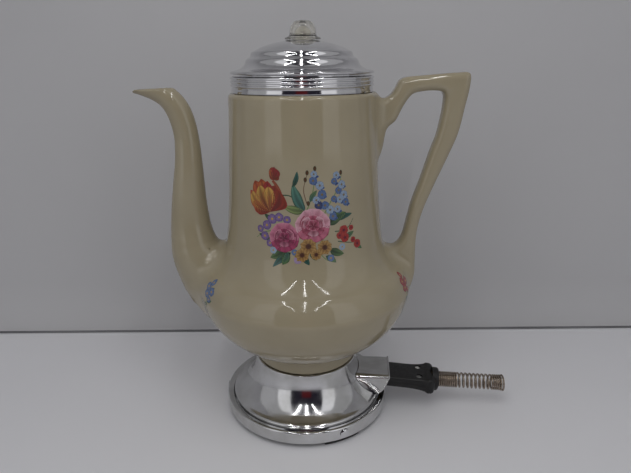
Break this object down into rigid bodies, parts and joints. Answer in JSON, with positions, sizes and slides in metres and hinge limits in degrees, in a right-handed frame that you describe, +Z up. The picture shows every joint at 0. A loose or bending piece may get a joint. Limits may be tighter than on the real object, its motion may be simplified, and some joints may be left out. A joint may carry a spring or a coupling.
{
  "type": "electric coffee percolator",
  "caption": "China pot with a long curved spout, a loop handle and a chromed lid, on a chromed heater base with a pull-off plug. Its brewing basket and stem lift out.",
  "frame": {"origin": "on the pot's axis at the level of the surface it stands on", "axes": "+Z up; +X towards the handle and the heater plug, -X towards the spout; -Y is the side with the flower spray that faces a viewer with the handle on the right"},
  "size_m": [0.2839, 0.1628, 0.2996],
  "materials": {
    "china": "ivory glazed china with fired-on flower sprays",
    "chrome": "polished chromium plate on brass, lightly worn",
    "steel": "plain steel",
    "nickel": "warm nickel plate, satin",
    "brass": "dull brass",
    "aluminium": "spun aluminium, satin",
    "bakelite": "black moulded phenolic, worn",
    "fibre": "black vulcanised fibre",
    "cork": "pressed cork",
    "rubber": "moulded rubber",
    "porcelain": "unglazed electrical porcelain",
    "mica": "pressed mica sheet",
    "glass": "clear pressed glass, polished"
  },
  "bodies": {
    "pot": {"china_body": "china", "spout": "china", "handle": "china", "neck_collar": "chrome", "base_shell": "chrome", "base_rim_band": "chrome", "terminal_shroud": "chrome", "foot_rivet_1": "chrome", "foot_rivet_2": "chrome", "foot_rivet_3": "chrome", "bottom_plate": "steel", "element_support_plate": "steel", "tie_rod": "steel", "lead_wire_left": "nickel", "lead_wire_right": "nickel", "heater_cup": "nickel", "element_coil": "nickel", "clamp_nut": "brass", "support_nut": "brass", "tie_nut": "brass", "terminal_pin_left": "brass", "terminal_pin_right": "brass", "terminal_nut_left": "brass", "terminal_nut_right": "brass", "foot_1": "fibre", "foot_2": "fibre", "foot_3": "fibre", "collar_cork_ring": "cork", "inner_gasket": "rubber", "outer_gasket": "rubber", "element_core": "porcelain", "terminal_block": "porcelain", "mica_washer": "mica"},
    "stem": {"percolator_tube": "aluminium", "pump_bell": "aluminium", "pump_seat_plate": "aluminium", "basket_stop": "aluminium"},
    "valve": {"pump_valve_disc": "steel"},
    "basket": {"coffee_basket": "aluminium"},
    "spreader": {"water_spreader": "aluminium"},
    "lid": {"lid_cover": "chrome", "lid_skirt": "chrome", "knob_clip_ring": "steel"},
    "knob": {"glass_knob": "glass"},
    "plug": {"plug_upper_half": "bakelite", "plug_lower_half": "bakelite", "contact_left": "brass", "contact_right": "brass", "contact_screw_left": "brass", "contact_screw_right": "brass", "plug_screw_left": "steel", "plug_screw_right": "steel", "plug_nut_left": "steel", "plug_nut_right": "steel", "cord_guard_spring": "nickel"}
  },
  "joints": [
    {"name": "stem_lift", "type": "slide", "parent": "pot", "child": "stem", "axis": [0, 0, 1], "range_m": [0, 0.24]},
    {"name": "basket_lift", "type": "slide", "parent": "stem", "child": "basket", "axis": [0, 0, 1], "range_m": [0, 0.1]},
    {"name": "spreader_lift", "type": "slide", "parent": "basket", "child": "spreader", "axis": [0, 0, 1], "range_m": [0, 0.06]},
    {"name": "lid_lift", "type": "slide", "parent": "spreader", "child": "lid", "axis": [0, 0, 1], "range_m": [0, 0.12]},
    {"name": "knob_twist", "type": "hinge", "parent": "lid", "child": "knob", "pos_m": [0.0009, 0, 0.29], "axis": [0, 0, 1], "range_deg": [0, 90]},
    {"name": "valve_lift", "type": "slide", "parent": "stem", "child": "valve", "axis": [0, 0, 1], "range_m": [0, 0.003]},
    {"name": "plug_pull", "type": "slide", "parent": "pot", "child": "plug", "axis": [0.993, -0.0869, -0.0802], "range_m": [0, 0.045]}
  ]
}
